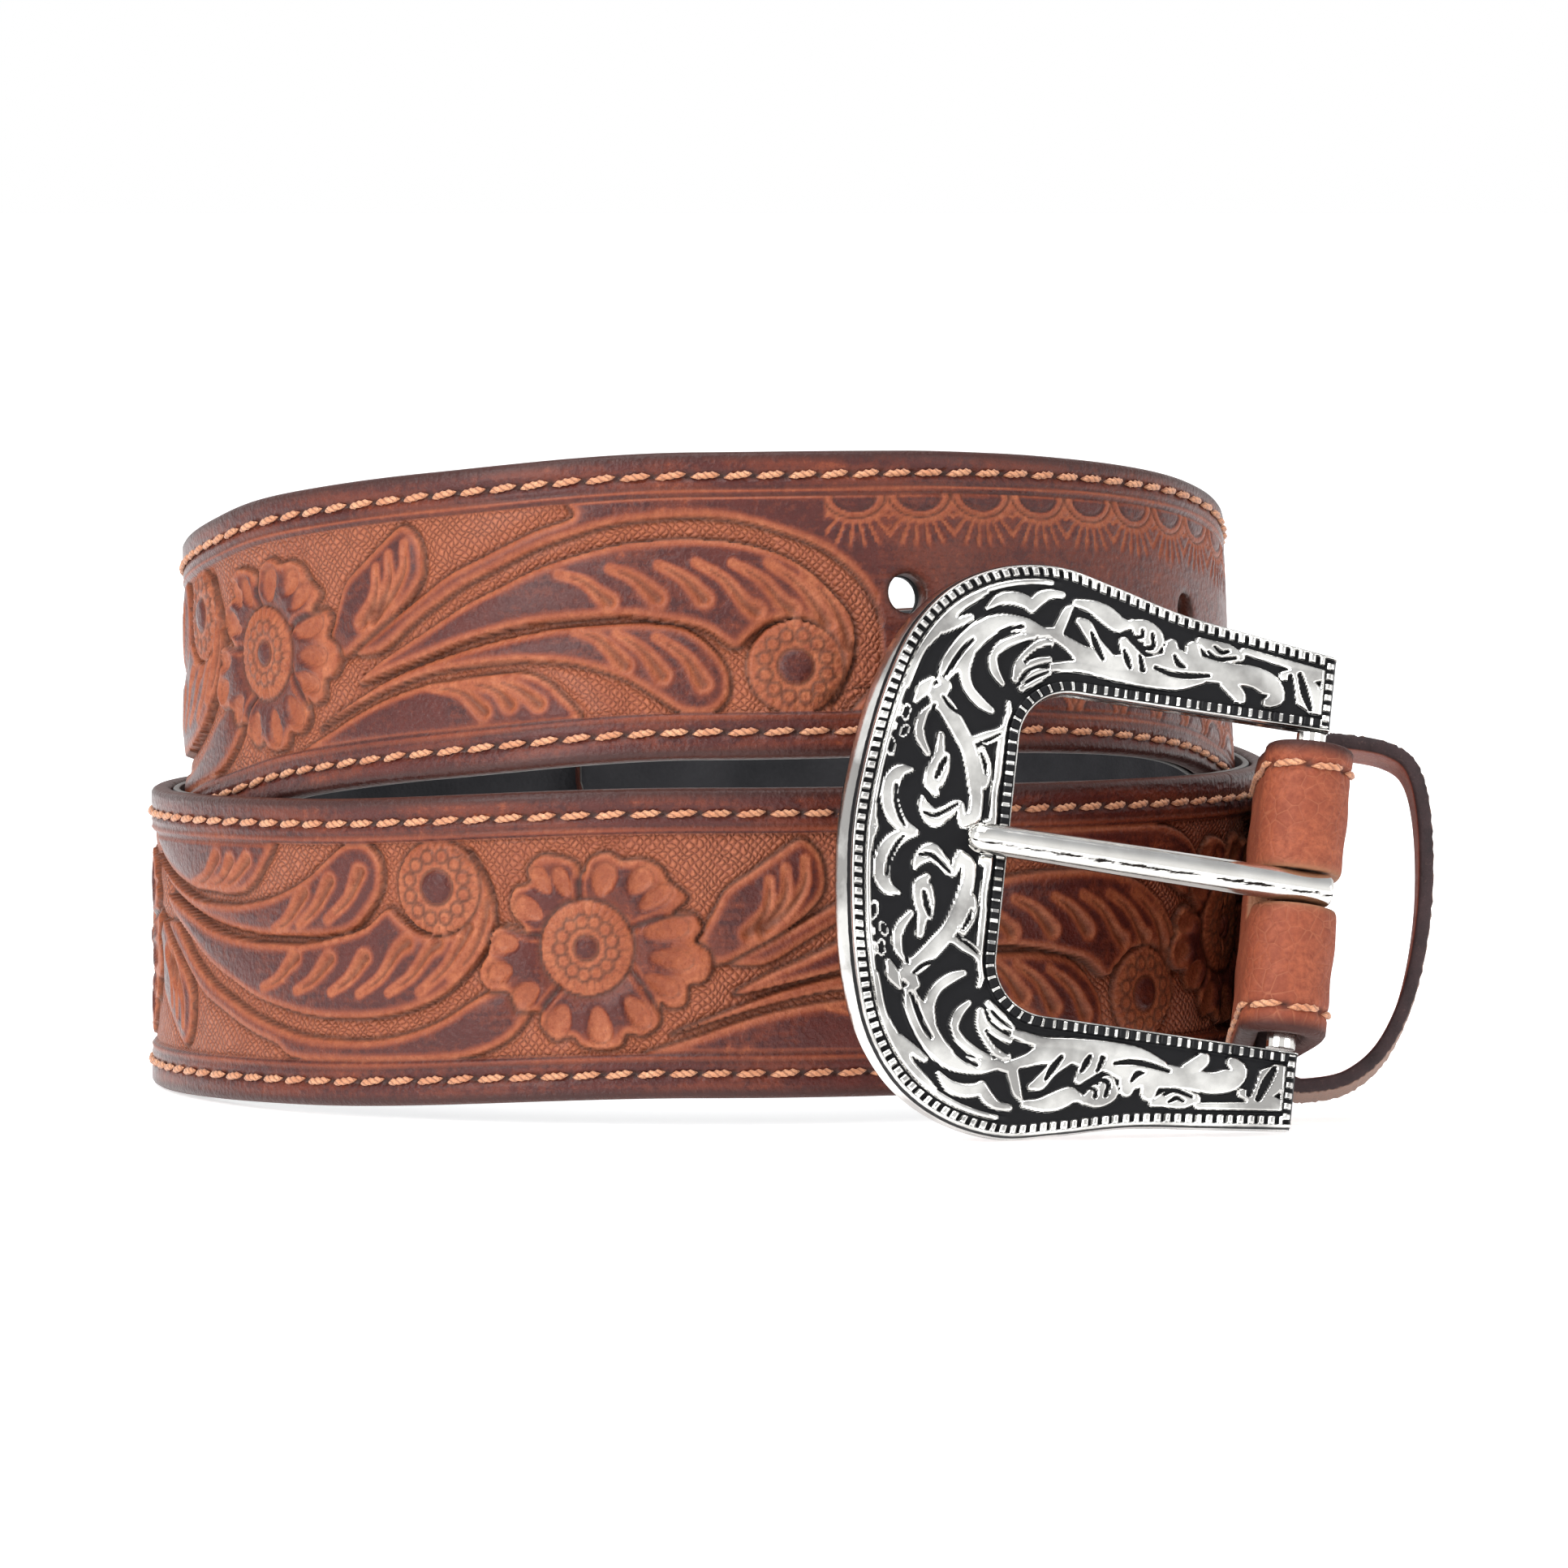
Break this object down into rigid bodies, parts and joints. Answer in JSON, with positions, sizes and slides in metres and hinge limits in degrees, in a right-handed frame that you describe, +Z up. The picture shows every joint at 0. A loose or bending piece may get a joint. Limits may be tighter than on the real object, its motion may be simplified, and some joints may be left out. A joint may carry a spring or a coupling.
{
  "type": "western belt",
  "caption": "Tooled brown leather western belt with black lining, coiled on its edge, with a leather keeper loop and a cast scroll buckle whose frame and prong swing.",
  "frame": {"origin": "centre of the bounding box at the height of the surface that the coiled belt stands on", "axes": "+Z up along the coil's axis, -Y towards the front where the buckle faces, +X to the right towards the buckle bar and keeper"},
  "size_m": [0.1612, 0.167, 0.0825],
  "materials": {
    "leather": "tooled tan leather, stained dark in its cuts and along its edges, semi-gloss",
    "lining": "black smooth lining with a paler cut edge",
    "keeper": "brown tooled leather with a dark fibrous inside",
    "silver": "polished nickel plate on the raised scrolls, black enamel in the sunk field",
    "steel": "polished nickel plated steel"
  },
  "bodies": {
    "strap": {"strap_leather": "leather", "strap_lining": "lining", "keeper_loop": "keeper"},
    "buckle": {"buckle_frame": "silver", "buckle_bar": "steel"},
    "prong": {"prong": "steel"}
  },
  "joints": [
    {"name": "buckle_swing", "type": "hinge", "parent": "strap", "child": "buckle", "pos_m": [0.06282, -0.06539, 0.0292], "axis": [0.106, 0.2422, 0.9644], "range_deg": [0, 90]},
    {"name": "prong_pivot", "type": "hinge", "parent": "buckle", "child": "prong", "pos_m": [0.06282, -0.06539, 0.0292], "axis": [0.106, 0.2422, 0.9644], "range_deg": [0, 75]}
  ]
}
